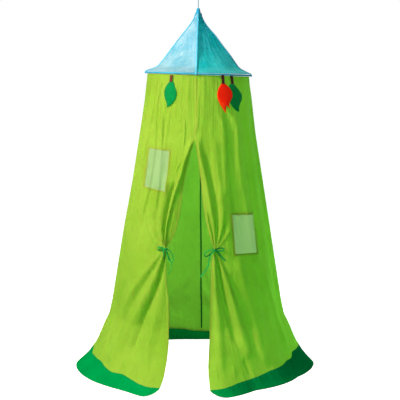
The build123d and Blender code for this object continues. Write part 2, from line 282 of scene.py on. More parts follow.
def painted_wire(name, color):
    """Smooth paint with a faint orange-peel surface, rubbed through in places."""
    n = Nodes(name)
    orange = n.noise(n.coords(False), 900.0, 2.0)
    wear = n.ramp(n.noise(n.coords(False), 120.0, 4.0), ((0.62, color), (0.75, (0.55, 0.54, 0.52))))
    gloss = n.math("MULTIPLY_ADD", orange, 0.12, 0.25)
    return n.finish(n.principled(wear, gloss, n.bump(orange, 0.15, 0.0002), Metallic=0.0, Coat_Weight=0.3))


def brushed_sleeve(name):
    """Drawn metal tube with fine lines."""
    n = Nodes(name)
    brush = n.noise(n.coords(False, (900, 900, 40)), 1.0, 3.0)
    color = n.ramp(brush, ((0.3, (0.42, 0.42, 0.43)), (0.7, (0.66, 0.66, 0.67))))
    return n.finish(n.principled(color, n.math("MULTIPLY_ADD", brush, 0.2, 0.25), n.bump(brush, 0.2, 0.0002),
                                 Metallic=1.0))


lime_cotton = cotton("lime_cotton", (0.37, 0.37, 0.060), (0.29, 0.31, 0.038), (0.26, 1.0, 0.08), 0.42)
# The inner face of the same lime cotton, painted greener: this is painted light standing in for the green
# light that comes through the walls into the tent.
lime_inner_painted_light = cotton("lime_inner_painted_light", (0.26, 0.49, 0.065), (0.19, 0.40, 0.045),
                     (0.80, 1.0, 0.50), 0.45, crumple=0.8)
emerald_cotton = cotton("emerald_cotton", (0.0, 0.295, 0.072), (0.0, 0.225, 0.054),
                        (0.0, 0.45, 0.07), 0.04, 0.0, shine=0.0)
emerald_inside = cotton("emerald_inside", (0.0, 0.29, 0.062), (0.0, 0.22, 0.048),
                        (0.0, 0.30, 0.05), 0.04, 0.0, shine=0.0)
seam_tape = cotton("seam_tape", (0.01, 0.12, 0.025), (0.006, 0.09, 0.018), (0.01, 0.2, 0.02), 0.1, 0.01)
# A lighter copy of the lime cotton, as a painted highlight: it is used on the door's turned edges, the front
# seam and the window bindings.
lime_painted_highlight = cotton("lime_painted_highlight", (0.46, 0.46, 0.080), (0.38, 0.40, 0.055), (0.26, 1.0, 0.08), 0.42)
# The roof's one voile in two copies: this paler copy is a painted highlight for the half lit from the left,
# and the teal copy below is painted shade for the right half.
voile_painted_lit_half = voile("voile_painted_lit_half", (0.46, 0.68, 0.84), (0.13, 0.44, 0.64),
                   (0.22, 0.62, 0.80), 0.08, sheen=0.2)
voile_painted_shade_half = voile("voile_painted_shade_half", (0.09, 0.72, 0.88), (0.0, 0.47, 0.55), (0.0, 0.64, 0.74), 0.06, glow=0.42)
window_voile = voile("window_voile", (0.34, 0.38, 0.26), (0.25, 0.31, 0.17),
                     (0.68, 0.95, 0.54), 0.13, 600.0, 90.0,
                     glow=0.47)
cyan_binding = cotton("cyan_binding", (0.11, 0.56, 0.80), (0.05, 0.44, 0.68),
                      (0.0, 0.45, 0.65), 0.1, 0.02, 0.9)
brim_binding = cotton("brim_binding", (0.06, 0.44, 0.70), (0.02, 0.33, 0.56),
                      (0.05, 0.5, 0.65), 0.1, 0.02, 0.9)
tip_binding = cotton("tip_binding", (0.03, 0.34, 0.55), (0.005, 0.21, 0.38), (0.0, 0.2, 0.3), 0.05, 0.05, 0.8)
green_felt = felt("green_felt", (0.0, 0.22, 0.055), (0.0, 0.17, 0.042))
red_felt = felt("red_felt", (0.95, 0.020, 0.002), (0.85, 0.012, 0.001))
orange_red_felt = felt("orange_red_felt", (1.0, 0.06, 0.004), (0.90, 0.040, 0.003))
dark_felt = felt("dark_felt", (0.0, 0.31, 0.065), (0.0, 0.24, 0.048))
tie_satin = ribbon_satin("tie_satin", (0.0, 0.36, 0.050), (0.0, 0.20, 0.028), 0.6)
brown_strap = ribbon_satin("brown_strap", (0.13, 0.024, 0.012), (0.08, 0.016, 0.008), 0.8)
dark_strap = ribbon_satin("dark_strap", (0.06, 0.005, 0.010), (0.03, 0.003, 0.006), 0.8)
cord_yarn = twisted_yarn("cord_yarn", (0.12, 0.34, 0.50), (0.05, 0.17, 0.28))
white_wire = painted_wire("white_wire", (0.82, 0.82, 0.80))
ferrule_steel = brushed_sleeve("ferrule_steel")
rod_fibre = painted_wire("rod_fibre", (0.72, 0.70, 0.62))


# ---- shape of the cloth -------------------------------------------------------------------------
def smooth_line(points, step, reach):
    """Evenly spaced values through (place, value) points, rounded over a reach."""
    points = sorted(points)
    places = np.arange(points[0][0], points[-1][0] + step, step)
    values = np.interp(places, [p for p, _ in points], [v for _, v in points])
    count = max(1, int(reach / step)) | 1
    weights = np.hanning(count + 2)[1:-1]
    half = count // 2
    before = 2 * values[0] - values[half:0:-1]
    after = 2 * values[-1] - values[-2:-half - 2:-1]
    padded = np.concatenate([before, values, after])
    return places, np.convolve(padded, weights / weights.sum(), "valid")


def at(line, places):
    return np.interp(places, line[0], line[1])


def ease(value):
    value = np.clip(value, 0, 1)
    return value * value * (3 - 2 * value)


# outer radius down the wall, the same at both sides
wall_line = smooth_line(((-0.4795, 0.286), (-1.60, 0.4620), (-1.75, 0.4855), (-1.833, 0.503), (-1.879, 0.526),
                         (-1.924, 0.546), (-1.970, 0.566), (-2.016, 0.591), (-2.062, 0.623), (-2.107, 0.664),
                         (-2.13, 0.690)), 0.003, 0.04)
# how far the edge of the hem lies from the middle, round the tent
floor_line = smooth_line(((-270, 0.659), (-225, 0.630), (-180, 0.572), (-135, 0.635), (-110, 0.675),
                          (-90, 0.688),
                          (-67, 0.692), (-55, 0.698), (-44, 0.705), (-36, 0.718), (-30, 0.732),
                          (-26.7, 0.752),
                          (-20.7, 0.786), (-10, 0.786), (6, 0.772), (9.1, 0.772), (13.7, 0.752),
                          (19.7, 0.716),
                          (26, 0.674), (34, 0.670), (44, 0.656), (59, 0.632), (71, 0.640), (90, 0.652),
                          (135, 0.630), (180, 0.572), (225, 0.635), (250, 0.675), (270, 0.688)), 0.5, 4.0)
# top of the hem band, round the tent
band_line = smooth_line(((-270, -2.03), (-180, -2.062), (-120, -2.035), (-92, -2.018), (-84, -2.022),
                         (-78, -2.047),
                         (-61.5, -2.047), (-54, -2.058), (-46, -2.073), (-39, -2.071), (-34, -2.079),
                         (-28, -2.090),
                         (-22, -2.095), (-10, -2.095), (5.4, -2.100), (11, -2.096), (18, -2.084),
                         (26, -2.081),
                         (33, -2.071), (40, -2.060), (46, -2.057), (56, -2.048), (63, -2.046), (68, -2.022),
                         (90, -2.018), (120, -2.035), (160, -2.045), (169, -2.062), (176, -2.066),
                         (183, -2.062),
                         (188, -2.050), (193, -2.043), (200, -2.040), (207, -2.046), (270, -2.03)), 0.5, 3.0)
left_edge_line = smooth_line(((-0.822, -0.0125), (-0.855, -0.030), (-0.933, -0.052), (-1.015, -0.073),
                              (-1.086, -0.088), (-1.158, -0.098), (-1.229, -0.109), (-1.272, -0.120),
                              (-1.318, -0.133), (-1.365, -0.152), (-1.402, -0.177), (-1.43, -0.179),
                              (-1.501, -0.174), (-1.622, -0.168), (-1.679, -0.161), (-1.90, -0.159),
                              (-1.973, -0.166), (-2.057, -0.183), (-2.095, -0.201), (-2.131, -0.240)), 0.003,
                              0.02)
right_edge_line = smooth_line(((-0.822, -0.0125), (-0.848, -0.011), (-0.919, -0.002), (-0.983, 0.007),
                               (-1.050, 0.016), (-1.121, 0.023), (-1.181, 0.031), (-1.245, 0.041),
                               (-1.323, 0.059), (-1.401, 0.086), (-1.43, 0.083), (-1.478, 0.071),
                               (-1.617, 0.067), (-1.881, 0.060), (-1.999, 0.052), (-2.064, 0.056),
                               (-2.10, 0.060), (-2.131, 0.085)), 0.003, 0.02)
edge_roll_line = smooth_line(((-0.82, 0.0), (-0.95, 0.010), (-1.10, 0.020), (-1.27, 0.026), (-1.36, 0.016),
                              (-1.41, 0.004), (-1.46, 0.0), (-2.14, 0.0)), 0.003, 0.04)
edge_band_line = smooth_line(((-0.82, 0.004), (-0.95, 0.022), (-1.06, 0.032), (-1.20, 0.045), (-1.27, 0.050),
                              (-1.32, 0.043), (-1.365, 0.028), (-1.40, 0.008), (-1.46, 0.01), (-2.14, 0.02)),
                             0.003, 0.02)
slit_z = -0.832
left_knot = (-0.177, -1.411)
right_knot = (0.085, -1.411)


# the tent leans a little to the left: how much further out the cloth hangs at each side
left_lean = smooth_line(((-0.4795, 0.0), (-0.62, -0.008), (-1.08, -0.006), (-1.30, 0.001), (-1.85, 0.005),
                         (-2.05, 0.0), (-2.131, 0.0)), 0.003, 0.08)
right_lean = smooth_line(((-0.4795, 0.0), (-0.56, -0.006), (-0.80, -0.017), (-1.85, -0.018), (-2.05, -0.004),
                          (-2.131, 0.0)), 0.003, 0.08)


def radius_at(turn, z):
    """Outer radius of the cloth before its folds, turn in degrees."""
    spread = np.clip(1 - (z - z_floor) / spread_height, 0, 1) ** 1.7
    right_side = ease((turn - 42) / 36) * ease((150 - turn) / 40)
    left_side = ease((-42 - turn) / 36) + ease((turn - 210) / 40)
    lean = at(left_lean, z) * left_side + at(right_lean, z) * right_side
    return at(wall_line, z) + (at(floor_line, turn) - mean_floor_radius) * spread + lean


def turn_at(x, z):
    """The angle round the tent at which the wall has this x, on the front."""
    turn = np.degrees(np.arcsin(np.clip(x / at(wall_line, z), -1, 1)))
    for _ in range(2):
        turn = np.degrees(np.arcsin(np.clip(x / radius_at(turn, z), -0.999, 0.999)))
    return turn


def fold(points, width, height, gather=None, tail=0.07):
    """A ridge, or with a negative height a valley, along (x, z) points on the front."""
    x, z = (np.array(v, float) for v in zip(*points))
    return np.radians(turn_at(x, z)) * at(wall_line, z), z, width, height, gather, tail


def round_fold(points, width, height, tail=0.1):
    """The same along (angle, z) points, for the sides and the back."""
    turn, z = (np.array(v, float) for v in zip(*points))
    return np.radians(turn) * at(wall_line, z), z, width, height, None, tail


free_fold_share = 1.5       # how high the folds stand, against the heights in the lists
gathered_fold_share = 1.2


def fold_height(folds, turn, z):
    """How far all folds push the cloth out at each point."""
    along = np.radians(turn) * at(wall_line, z)
    total = np.zeros_like(z)
    for path_a, path_z, width, height, gather, tail in folds:
        lengths = np.hypot(np.diff(path_a), np.diff(path_z))
        whole = lengths.sum()
        nearest = np.full(z.shape, 9.0)
        progress = np.zeros_like(z)
        done = 0.0
        for i, length in enumerate(lengths):
            da, dz = path_a[i + 1] - path_a[i], path_z[i + 1] - path_z[i]
            t = np.clip(((along - path_a[i]) * da + (z - path_z[i]) * dz) / length ** 2, 0, 1)
            gap = np.hypot(along - path_a[i] - t * da, z - path_z[i] - t * dz)
            closer = gap < nearest
            nearest = np.where(closer, gap, nearest)
            progress = np.where(closer, done + t * length, progress)
            done += length
        wide = np.full(z.shape, width)
        if gather is not None:
            knot_a = math.radians(float(turn_at(gather[0], gather[1]))) * float(at(wall_line, gather[1]))
            away = np.hypot(along - knot_a, z - gather[1])
            wide = width * np.clip(0.3 + away / 0.22, 0.3, 1.0 + np.clip(away - 0.2, 0, 1) * 1.2)
        first_end = last_end = 0.0      # the end at the knot starts higher
        if gather is not None and path_z[0] < gather[1] + 0.05:
            first_end = 0.5 * tail
        if gather is not None and path_z[0] > gather[1] + 0.05:
            last_end = 0.5 * tail
        fade = ease((progress + first_end) / tail) * ease((whole - progress + last_end) / tail)
        full = height * (free_fold_share if gather is None else gathered_fold_share)
        total += full * fade * np.exp(-(nearest / wide) ** 2)
    return total


def waves(turn, z):
    """Slow unevenness of hanging cloth: a millimetre or two at the hoop, more near the floor."""
    drop = np.clip((z_wall_top - z) / 1.65, 0, 1)
    angle = np.radians(turn)
    sway = (np.sin(5 * angle + 1.3 + 1.1 * z) + 0.7 * np.sin(11 * angle + 0.4 - 2.3 * z)
            + 0.5 * np.sin(19 * angle + 2.1 + 1.7 * z) + 0.3 * np.sin(31 * angle + 5.0 - 3.1 * z))
    return sway * (0.0012 + 0.0042 * drop ** 1.3) * (1 - 0.6 * ease((drop - 0.93) / 0.07))


left_folds = [
    # gathers under the hoop
    fold(((-0.222, -0.485), (-0.250, -0.70), (-0.287, -0.89), (-0.316, -1.06), (-0.345, -1.30)),
         0.0085, 0.0062),
    fold(((-0.190, -0.485), (-0.220, -0.62), (-0.234, -0.888), (-0.268, -1.11), (-0.308, -1.28)),
         0.0075, 0.0066),
    fold(((-0.165, -0.50), (-0.190, -0.72), (-0.197, -0.886), (-0.211, -1.083), (-0.233, -1.216)),
         0.0075, 0.0066),
    fold(((-0.150, -0.60), (-0.165, -0.75), (-0.187, -0.90), (-0.20, -1.05)), 0.008, 0.0025),
    fold(((-0.245, -0.485), (-0.285, -0.75), (-0.325, -1.0)), 0.010, 0.003),
    fold(((-0.120, -0.485), (-0.128, -0.75)), 0.012, 0.0018),
    fold(((-0.055, -0.50), (-0.062, -0.72)), 0.012, 0.0018),
    # creases left of the slit
    fold(((-0.073, -0.70), (-0.073, -0.805), (-0.083, -0.875)), 0.005, 0.0045, None, 0.05),
    fold(((-0.068, -0.905), (-0.095, -0.945), (-0.122, -0.990), (-0.128, -1.03)), 0.006, 0.004, None, 0.05),
    fold(((-0.125, -0.735), (-0.070, -0.700)), 0.006, 0.0022, None, 0.03),
    fold(((-0.135, -0.800), (-0.080, -0.755)), 0.006, 0.0022, None, 0.03),
    # the rolled ridge beside the door, down to the knot
    fold(((-0.029, -0.800), (-0.041, -0.848), (-0.059, -0.901), (-0.074, -0.945), (-0.088, -1.005),
          (-0.109, -1.065), (-0.135, -1.140), (-0.153, -1.213), (-0.170, -1.290), (-0.180, -1.400)),
         0.0085, 0.013, left_knot),
    fold(((-0.120, -1.03), (-0.140, -1.085), (-0.160, -1.16), (-0.177, -1.24), (-0.187, -1.31),
          (-0.184, -1.400)),
         0.010, -0.013, left_knot),
    fold(((-0.165, -1.0), (-0.182, -1.125), (-0.200, -1.233), (-0.202, -1.322), (-0.188, -1.395)),
         0.017, 0.011, left_knot),
    fold(((-0.215, -1.15), (-0.232, -1.25), (-0.225, -1.33), (-0.190, -1.40)), 0.016, -0.008, left_knot),
    fold(((-0.275, -1.17), (-0.270, -1.29), (-0.235, -1.36), (-0.195, -1.405)), 0.020, 0.006, left_knot),
    # below the knot
    fold(((-0.176, -1.42), (-0.190, -1.50), (-0.207, -1.577), (-0.246, -1.676), (-0.305, -1.807),
          (-0.375, -1.99)),
         0.013, -0.017, left_knot),
    fold(((-0.182, -1.42), (-0.205, -1.50), (-0.240, -1.58), (-0.290, -1.690), (-0.360, -1.83),
          (-0.44, -1.975),
          (-0.49, -2.05)), 0.020, 0.013, left_knot),
    fold(((-0.184, -1.42), (-0.240, -1.52), (-0.310, -1.63), (-0.400, -1.80), (-0.47, -1.95)),
         0.020, -0.010, left_knot),
    fold(((-0.186, -1.42), (-0.260, -1.52), (-0.345, -1.64), (-0.430, -1.80)), 0.022, 0.009, left_knot),
    fold(((-0.172, -1.43), (-0.178, -1.52), (-0.187, -1.60), (-0.215, -1.74), (-0.260, -1.90),
          (-0.290, -2.04)),
         0.024, 0.011, left_knot),
    fold(((-0.40, -1.60), (-0.455, -1.76), (-0.50, -1.92), (-0.535, -2.03)), 0.022, -0.008),
    fold(((-0.345, -2.0), (-0.335, -2.06), (-0.325, -2.10)), 0.010, -0.006, None, 0.04),
    fold(((-0.40, -1.98), (-0.405, -2.06)), 0.014, 0.005, None, 0.04),
]
right_folds = [
    fold(((0.000, -0.560), (-0.004, -0.70), (-0.006, -0.80)), 0.007, 0.003),
    # the pale band beside the door, which splits in two above the knot
    fold(((-0.006, -0.790), (-0.001, -0.85), (0.013, -0.93), (0.028, -1.01), (0.045, -1.09), (0.062, -1.18),
          (0.078, -1.27), (0.088, -1.35), (0.090, -1.402)), 0.013, 0.012, right_knot),
    fold(((0.020, -1.05), (0.034, -1.16), (0.048, -1.235), (0.066, -1.315), (0.086, -1.40)),
         0.008, 0.006, right_knot),
    fold(((0.045, -1.19), (0.056, -1.227), (0.075, -1.31), (0.087, -1.395)), 0.006, -0.012, right_knot),
    fold(((0.034, -0.875), (0.041, -0.895), (0.058, -0.97), (0.074, -1.05), (0.092, -1.13), (0.101, -1.211),
          (0.103, -1.299), (0.094, -1.40)), 0.013, -0.011, right_knot),
    fold(((0.085, -0.80), (0.098, -0.95), (0.118, -1.10), (0.126, -1.21), (0.119, -1.31), (0.097, -1.40)),
         0.018, 0.009, right_knot),
    fold(((0.180, -1.29), (0.142, -1.350), (0.100, -1.402)), 0.010, 0.005, right_knot, 0.05),
    fold(((0.160, -1.25), (0.130, -1.330), (0.098, -1.400)), 0.010, -0.005, right_knot, 0.05),
    # broad hanging folds
    fold(((0.030, -0.485), (0.040, -0.75)), 0.030, 0.003),
    fold(((0.105, -0.52), (0.137, -0.774), (0.142, -0.993), (0.160, -1.15)), 0.026, 0.0045),
    fold(((0.125, -0.60), (0.165, -0.775), (0.172, -0.939), (0.186, -1.104), (0.205, -1.22), (0.235, -1.42)),
         0.019, -0.0060),
    fold(((0.150, -0.52), (0.210, -0.777), (0.218, -0.941), (0.240, -1.107), (0.264, -1.218), (0.300, -1.45)),
         0.022, 0.008),
    fold(((0.200, -0.53), (0.263, -0.779), (0.275, -0.945), (0.298, -1.113), (0.318, -1.25), (0.36, -1.5)),
         0.022, -0.007),
    # below the knot
    fold(((0.088, -1.42), (0.100, -1.47), (0.114, -1.55), (0.132, -1.640), (0.160, -1.76), (0.215, -1.927)),
         0.014, -0.020, right_knot),
    fold(((0.083, -1.42), (0.085, -1.53), (0.088, -1.62), (0.105, -1.78), (0.115, -1.93), (0.12, -2.04)),
         0.019, 0.014, right_knot),
    fold(((0.093, -1.42), (0.125, -1.50), (0.155, -1.60), (0.190, -1.72), (0.235, -1.88), (0.28, -2.0)),
         0.019, 0.013, right_knot),
    fold(((0.094, -1.42), (0.150, -1.52), (0.205, -1.65), (0.265, -1.82), (0.32, -1.98)),
         0.018, -0.009, right_knot),
    fold(((0.200, -1.45), (0.250, -1.60), (0.300, -1.80), (0.330, -1.95), (0.38, -2.04)), 0.026, 0.009),
    fold(((0.300, -1.45), (0.345, -1.65), (0.385, -1.85), (0.43, -2.0)), 0.024, -0.008),
    fold(((0.350, -1.50), (0.405, -1.70), (0.452, -1.858), (0.500, -1.99)), 0.022, 0.007),
    fold(((0.235, -1.97), (0.270, -2.048), (0.285, -2.08)), 0.010, -0.007, None, 0.04),
    fold(((0.180, -1.99), (0.195, -2.07)), 0.012, 0.004, None, 0.04),
    fold(((0.370, -2.03), (0.400, -2.055)), 0.010, -0.004, None, 0.03),
]
back_folds = [round_fold(((turn, -0.50), (turn + lean * 0.5, -1.2), (turn + lean, -2.0)), wide, high)
              for turn, lean, wide, high in (
                  (98, 3, 0.025, 0.006), (106, 3, 0.02, -0.005), (116, -2, 0.03, 0.007),
                  (127, 1, 0.022, -0.006),
                  (137, 2, 0.03, 0.007), (148, -1, 0.020, -0.006), (166, 2, 0.022, 0.004),
                  (192, -2, 0.022, 0.004), (203, -2, 0.026, 0.006),
                  (214, 1, 0.022, -0.007), (225, -2, 0.03, 0.007), (236, 2, 0.02, -0.006),
                  (247, -2, 0.03, 0.007),
                  (257, 0, 0.022, -0.006), (264, 1, 0.022, 0.005))]
back_folds += [
    round_fold(((182, -1.36), (187, -1.50), (191, -1.62)), 0.014, 0.006),
    round_fold(((181, -1.55), (185, -1.66), (192, -1.80)), 0.012, -0.006),
    round_fold(((179, -1.62), (175, -1.72), (171, -1.84)), 0.011, 0.006),
    round_fold(((178, -1.75), (174, -1.83), (170, -1.93)), 0.011, -0.005),
    round_fold(((186, -1.0), (188, -1.15), (189, -1.30)), 0.016, 0.006),
    round_fold(((184, -1.72), (189, -1.86), (192, -1.98)), 0.012, 0.005),
]
side_folds = [
    round_fold(((-84, -0.50), (-83, -1.2), (-82, -2.0)), 0.022, 0.004),
    round_fold(((-74, -0.60), (-75, -1.3), (-73, -1.95)), 0.026, -0.005),
    round_fold(((82, -0.50), (81, -1.2), (80, -2.0)), 0.024, 0.004),
    round_fold(((72, -0.60), (73, -1.3), (72, -1.95)), 0.026, -0.005),
]


def hoop_tilt(x, y, z):
    """The hoop hangs a little lower on the right and in front, and the cloth near it follows."""
    return (-0.033 * x - 0.004 * y) * ease(1 - np.abs(z - z_hoop) / 0.36)


def wall_points(turn, z, lift=0.0, edge=None, folds=None):
    """Points on the wall's outer face: turn in degrees, lift is outwards from it.

    Folds are shallower at the sides, at the floor and behind the leaves. edge is the distance from
    the door's edge, where the cloth rolls inwards."""
    turn = np.asarray(turn, float)
    z = np.clip(np.asarray(z, float), z_floor + 0.0008, z_wall_top)
    if folds is None:
        folds = left_folds + right_folds + back_folds + side_folds
    radius = radius_at(turn, z)
    from_front = np.abs(((turn + 180) % 360) - 180)
    side = ease((from_front - 76) / 12) * ease((104 - from_front) / 12)
    push = (fold_height(folds, turn, z) + waves(turn, z)) * (1 - 0.55 * side)
    push *= ease((z_wall_top - z) / 0.03 + 0.05)
    low = ease(1 - (z - z_floor) / 0.05)
    push = push * (1 - 0.55 * low)
    behind_leaf = np.exp(-((turn + 30) / 10) ** 4) + np.exp(-((turn - 32) / 15) ** 4)
    push = np.where(push > 0, push * (1 - 0.9 * behind_leaf * ease((z + 0.74) / 0.08)), push)
    if edge is not None:
        band = at(edge_band_line, z)
        inwards = np.clip(1 - edge / band, 0, 1) ** 1.5
        push = push - at(edge_roll_line, z) * inwards
    radius = radius + push + lift
    x = radius * np.sin(np.radians(turn))
    y = -radius * np.cos(np.radians(turn))
    return np.stack([x, y, z + hoop_tilt(x, y, z)], axis=1)


# distances down the cloth, measured along the wall's line
line_z = np.linspace(z_wall_top, z_floor, 1200)
line_r = radius_at(np.full(1200, -60.0), line_z)
line_s = np.concatenate([[0], np.cumsum(np.hypot(np.diff(line_z), np.diff(line_r)))])
cloth_length = float(line_s[-1])


def z_from(distance):
    return np.interp(distance, line_s, line_z)


def distance_from(z):
    return np.interp(-z, -line_z, line_s)


def sheet_shape(columns, rows, place, flat):
    """A grid of cloth whose points come from place(across, down), with a UV map in metres."""
    shape = bmesh.new()
    cloth_map = shape.loops.layers.uv.new("cloth")
    bmesh.ops.create_grid(shape, x_segments=columns, y_segments=rows, size=0.5)
    shape.verts.ensure_lookup_table()
    across = np.array([v.co.x + 0.5 for v in shape.verts])
    down = np.array([0.5 - v.co.y for v in shape.verts])
    for vert, spot in zip(shape.verts, place(across, down)):
        vert.co = spot
    for face in shape.faces:
        for loop in face.loops:
            i = loop.vert.index
            loop[cloth_map].uv = (across[i] * flat[0], down[i] * flat[1])
    return shape


def face_outwards(shape, away_from=None):
    """Turns the whole cloth over if its faces look towards the tent's axis."""
    total = 0.0
    shape.normal_update()
    for face in shape.faces:
        middle = face.calc_center_median()
        out = Vector((middle.x, middle.y, 0)) if away_from is None else away_from
        total += face.normal.dot(out) * face.calc_area()
    if total < 0:
        bmesh.ops.reverse_faces(shape, faces=shape.faces[:])


def front_folds(side):
    return left_folds if side < 0 else right_folds


def new_piece(name, shape, material, skin=0.0, offset=-1.0, inside=None):
    """A smooth piece from a bmesh, with a cloth thickness and an inner material if it has them."""
    for face in shape.faces:
        face.smooth = True
    mesh = bpy.data.meshes.new(name)
    shape.to_mesh(mesh)
    shape.free()
    mesh.materials.append(material)
    piece = bpy.data.objects.new(name, mesh)
    bpy.context.scene.collection.objects.link(piece)
    if skin:
        thick = piece.modifiers.new("cloth thickness", "SOLIDIFY")
        thick.thickness = skin
        thick.offset = offset
        if inside is not None:
            mesh.materials.append(inside)
            thick.material_offset = len(mesh.materials) - 1
    return piece


def cut_window(shape, corners):
    """Cuts a four-sided hole through the cloth near these (x, z) corners, seen from the front."""
    cx = sum(x for x, _ in corners) / 4
    cz = sum(z for _, z in corners) / 4
    for (x1, z1), (x2, z2) in zip(corners, corners[1:] + corners[:1]):
        near = [f for f in shape.faces if abs(f.calc_center_median().x - cx) < 0.11
                and abs(f.calc_center_median().z - cz) < 0.16]
        edges = {e for f in near for e in f.edges}
        verts = {v for f in near for v in f.verts}
        cut = Vector((z1 - z2, 0, x2 - x1)).normalized()
        bmesh.ops.bisect_plane(shape, geom=list(verts) + list(edges) + near, plane_co=(x1, 0, z1),
                               plane_no=cut, dist=1e-5)
    inside = []
    for face in shape.faces:
        middle = face.calc_center_median()
        if middle.y > 0:
            continue
        signs = [(x2 - x1) * (middle.z - z1) - (z2 - z1) * (middle.x - x1) > 0
                 for (x1, z1), (x2, z2) in zip(corners, corners[1:] + corners[:1])]
        if len(set(signs)) == 1:
            inside.append(face)
    bmesh.ops.delete(shape, geom=inside, context="FACES")


left_window = [(-0.268, -0.876), (-0.157, -0.887), (-0.176, -1.106), (-0.295, -1.085)]
right_window = [(0.181, -1.230), (0.305, -1.236), (0.322, -1.445), (0.198, -1.439)]


def edge_turn(side, z):
    """The angle of the door's edge, or of the front seam above the slit."""
    x = at(left_edge_line if side < 0 else right_edge_line, z)
    turn = turn_at(x, z)
    return np.where(z > door_top, seam_turn, turn)


def front_turn(side, across, z):
    """From the door's edge to the side seam, with the cloth gathered towards the knot."""
    start = edge_turn(side, z)
    gather = 1 + 0.5 * np.exp(-((z + 1.41) / np.where(z > -1.41, 0.45, 0.35)) ** 2)
    return start + (side * 90 - start) * across ** gather


def edge_distance(side, turn, z):
    return np.radians(np.abs(turn - edge_turn(side, z))) * at(wall_line, z)


def front_cloth(side, low=False):
    """The wall's cloth or the hem band of one front half."""
    def place(across, down):
        z_guess = np.full(across.shape, -2.1)
        turn = front_turn(side, across, z_guess)
        top = distance_from(at(band_line, turn))
        corner = np.clip(1 - across / 0.085, 0, 1)
        bottom = cloth_length - 0.052 * (1 - np.sqrt(1 - corner ** 2))
        if low:
            distance = top - band_overlap + (bottom - top + band_overlap) * down
        else:
            distance = (top + wall_under_band) * down
        z = z_from(distance)
        turn = front_turn(side, across, z)
        above = ease((z - slit_z) / 0.002) > 0.5
        edge = np.where(above, 1.0, edge_distance(side, turn, z))
        return wall_points(turn, z, band_lift if low else 0.0, edge, front_folds(side) + side_folds)
    return place


def back_cloth(low=False):
    """The same for the back half, from the right side seam to the left one."""
    def place(across, down):
        turn = 90 + 180 * across
        top = distance_from(at(band_line, turn))
        if low:
            distance = top - band_overlap + (cloth_length - top + band_overlap) * down
        else:
            distance = (top + wall_under_band) * down
        return wall_points(turn, z_from(distance), band_lift if low else 0.0, None, back_folds + side_folds)
    return place


# ---- flaps: each fold line; the pieces are baked in place, not bent across it ---------------------
fold_lines = {-1: (Vector((-0.010, -0.34612, -0.837)), Vector((-0.53314, -0.49145, -2.130))),
              1: (Vector((0.010, -0.34612, -0.837)), Vector((0.39563, -0.59727, -2.130)))}


def bend_with_flap(piece, side):
    top, bottom = fold_lines[side]
    out = (bottom - top).cross(Vector((0, 0, -1.4835)) - top).normalized()
    if out.x * side > 0:
        out = -out
    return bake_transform(piece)


words = {-1: "left", 1: "right"}


def door_edge_cloth(side):
    """A narrow turned edge down the door."""
    def place(across, down):
        top = distance_from(np.array([slit_z]))[0]
        distance = top + (cloth_length - 0.12 - top) * down
        z = z_from(distance)
        start = edge_turn(side, z)
        turn = start + side * np.degrees((across * 0.005) / at(wall_line, z)) \
            - side * np.degrees(0.0008 / at(wall_line, z))
        return wall_points(turn, z, 0.0005, edge_distance(side, turn, z), front_folds(side))
    return place


# ---- walls ------------------------------------------------------------------------------------
for side in (-1, 1):
    word = words[side]
    shape = sheet_shape(190, 215, front_cloth(side), (1.05, cloth_length - 0.09))
    cut_window(shape, left_window if side < 0 else right_window)
    face_outwards(shape)
    wall = new_piece(f"{word}_front_wall", shape, lime_cotton, cloth_skin, inside=lime_inner_painted_light)
    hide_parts(f"wall_front_{word}", f"{word}_flap_panel")
    bend_with_flap(wall, side)
    shape = sheet_shape(190, 26, front_cloth(side, True), (1.05, 0.10))
    face_outwards(shape)
    band = new_piece(f"{word}_front_hem", shape, emerald_cotton, cloth_skin, inside=emerald_inside)
    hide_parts(f"hem_front_{word}", f"{word}_flap_hem")
    bend_with_flap(band, side)
    # The door's turned edge is the lime cloth painted lighter, as a painted highlight.
    shape = sheet_shape(3, 200, door_edge_cloth(side), (0.009, cloth_length))
    face_outwards(shape)
    strip = new_piece(f"{word}_door_edge", shape, lime_painted_highlight, 0.0021)
    bend_with_flap(strip, side)

shape = sheet_shape(200, 190, back_cloth(), (1.9, cloth_length - 0.09))
face_outwards(shape)
back_wall = new_piece("back_wall", shape, lime_cotton, cloth_skin, inside=lime_inner_painted_light)
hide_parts("wall_back_left", "wall_back_right")
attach(back_wall, "tent")
shape = sheet_shape(200, 20, back_cloth(True), (1.9, 0.10))
face_outwards(shape)
back_hem = new_piece("back_hem", shape, emerald_cotton, cloth_skin, inside=emerald_inside)
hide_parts("hem_back_left", "hem_back_right")
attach(back_hem, "tent")


def seam_tape_strip(word, turn, bottom, width, lift, skin, material, folds):
    """A tape sewn along a seam between two wall panels, from under the brim down to bottom."""
    def place(across, down):
        first = distance_from(np.array([seam_top]))[0]
        last = distance_from(np.array([bottom]))[0]
        z = z_from(first * (1 - down) + last * down)
        wander = np.sin(down * 23 + turn) * 0.08
        centre = np.full(across.shape, float(turn)) + wander
        return wall_points(centre + np.degrees((across - 0.5) * width / at(wall_line, z)), z, lift, None,
                           folds)
    shape = sheet_shape(3, 120, place, (width, 1.5))
    face_outwards(shape)
    tape = new_piece(f"{word}_wall_seam", shape, material, skin)
    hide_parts(f"{word}_seam")
    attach(tape, "tent")


seam_top = -0.481
# The front seam uses the lighter lime copy, which carries a painted highlight.
seam_tape_strip("front", seam_turn, slit_z - 0.003, 0.006, 0.0012, 0.0024, lime_painted_highlight,
                left_folds + right_folds)
for word, turn, bottom, folds in (("back", 178, -2.05, back_folds),
                                  ("left", 270, -2.02, back_folds + side_folds),
                                  ("right", 90, -2.02, back_folds + side_folds)):
    seam_tape_strip(word, turn, bottom, 0.009, -0.0012, 0.0022, seam_tape, folds)


